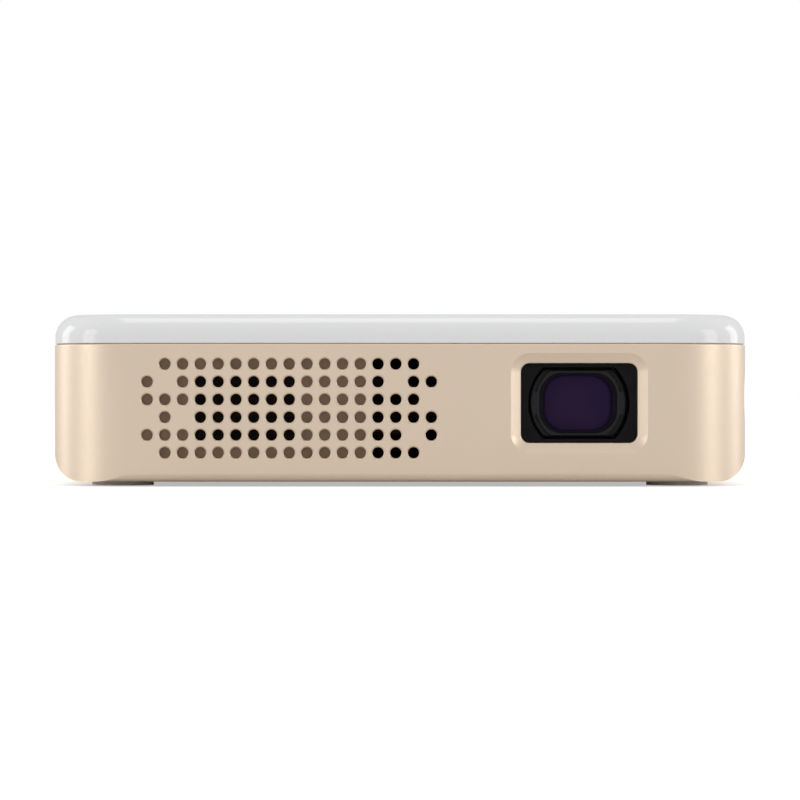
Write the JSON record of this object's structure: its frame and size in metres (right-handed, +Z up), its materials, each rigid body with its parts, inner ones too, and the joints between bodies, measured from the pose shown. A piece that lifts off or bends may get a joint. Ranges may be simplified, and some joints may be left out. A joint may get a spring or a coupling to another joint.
{
  "type": "pocket projector",
  "caption": "Pocket projector in a champagne-gold metal tub under a glossy white cap, with a focus wheel beside the lens, a front grille, sockets, power button and vents.",
  "frame": {"origin": "on the table, under the middle of the tub, in the plane of the undersides of the rubber feet", "axes": "+Z up through the white cap, -Y the way the lens looks, +X the side with the focus wheel, +Y the end with the charging socket"},
  "size_m": [0.08, 0.145, 0.0196],
  "materials": {
    "anodised_tub": "satin anodised champagne",
    "white_cap": "gloss",
    "clear_rubber": "frosted",
    "brass": "turned",
    "graphite_plastic": "matte",
    "pouch_foil": "laminated foil",
    "lead_sleeve": "satin",
    "board_laminate": "solder mask",
    "black_plastic": "matte",
    "nickel_steel": "plated",
    "cast_engine": "black cast",
    "barrel_plastic": "satin",
    "coated_glass": "violet coating",
    "clear_glass": "polished",
    "wheel_plastic": "ribbed",
    "ceramic_chip": "ceramic package",
    "black_aluminium": "black anodised",
    "flex_film": "polyimide",
    "copper": "bare copper",
    "taupe_plastic": "matte",
    "cone_paper": "pulp cone",
    "socket_steel": "nickel plated",
    "jack_plastic": "moulded dark brown",
    "socket_plastic": "moulded"
  },
  "bodies": {
    "chassis": {"tub": "anodised_tub", "top_cap": "white_cap", "foot_front_left": "clear_rubber", "foot_front_right": "clear_rubber", "foot_rear_left": "clear_rubber", "foot_rear_right": "clear_rubber", "tripod_insert": "brass", "battery_tray": "graphite_plastic", "battery_pack": "pouch_foil", "battery_leads": "lead_sleeve", "main_board": "board_laminate", "board_chips": "black_plastic", "heat_spreader": "nickel_steel", "board_screws": "nickel_steel", "tray_screws": "nickel_steel", "engine_housing": "cast_engine", "engine_lid": "cast_engine", "engine_screws": "nickel_steel", "lens_hood": "black_plastic", "focus_shaft": "nickel_steel", "focus_bracket": "cast_engine", "prism": "clear_glass", "mirror_chip": "ceramic_chip", "mirror_chip_board": "board_laminate", "mirror_chip_heatsink": "black_aluminium", "mirror_chip_flex": "flex_film", "led_modules": "copper", "led_flexes": "flex_film", "led_heatsink": "black_aluminium", "heat_pipe": "copper", "fin_stack": "black_aluminium", "fan_housing": "black_plastic", "fan_cover": "black_aluminium", "fan_stator": "copper", "fan_bearing": "brass", "fan_screws": "nickel_steel", "speaker_box": "taupe_plastic", "speaker_cone": "cone_paper", "speaker_magnet": "nickel_steel", "power_switch": "nickel_steel", "switch_board": "board_laminate", "reset_switch": "graphite_plastic", "hdmi_shell": "socket_steel", "hdmi_insert": "socket_plastic", "usb_a_shell": "socket_steel", "usb_a_insert": "socket_plastic", "usb_c_shell": "socket_steel", "usb_c_insert": "socket_plastic", "audio_jack": "jack_plastic", "inner_leads": "lead_sleeve"},
    "focus_wheel": {"focus_wheel": "wheel_plastic"},
    "lens_group": {"lens_barrel": "barrel_plastic", "lens_retainer": "barrel_plastic", "front_lens": "coated_glass", "middle_lens": "coated_glass", "rear_lens": "coated_glass"},
    "power_button": {"power_button": "anodised_tub"},
    "switch_plunger": {"switch_plunger": "black_plastic"},
    "reset_plunger": {"reset_plunger": "taupe_plastic"},
    "fan_rotor": {"fan_rotor": "graphite_plastic"}
  },
  "joints": [
    {"name": "focus_turn", "type": "hinge", "parent": "chassis", "child": "focus_wheel", "pos_m": [0.03395, -0.0565, 0.0102], "axis": [0, 0, 1], "range_deg": [-34, 34]},
    {"name": "focus_slide", "type": "slide", "parent": "chassis", "child": "lens_group", "axis": [0, -1, 0], "range_m": [-0.00142, 0.00142]},
    {"name": "power_press", "type": "slide", "parent": "chassis", "child": "power_button", "axis": [1, 0, 0], "range_m": [0, 0.0005], "stiffness_N_per_m": 1500, "springref_m": -0.0005},
    {"name": "plunger_press", "type": "slide", "parent": "chassis", "child": "switch_plunger", "axis": [1, 0, 0], "range_m": [0, 0.0005]},
    {"name": "reset_press", "type": "slide", "parent": "chassis", "child": "reset_plunger", "axis": [0, -1, 0], "range_m": [0, 0.00025], "stiffness_N_per_m": 1000, "springref_m": -0.0005},
    {"name": "fan_spin", "type": "hinge", "parent": "chassis", "child": "fan_rotor", "pos_m": [-0.0136, -0.0455, 0.007], "axis": [0, 0, 1], "continuous": true}
  ],
  "couplings": [
    {"joint": "focus_turn", "follows": "focus_slide", "rad_per_m": 416.67},
    {"joint": "plunger_press", "follows": "power_press", "ratio": 1}
  ]
}
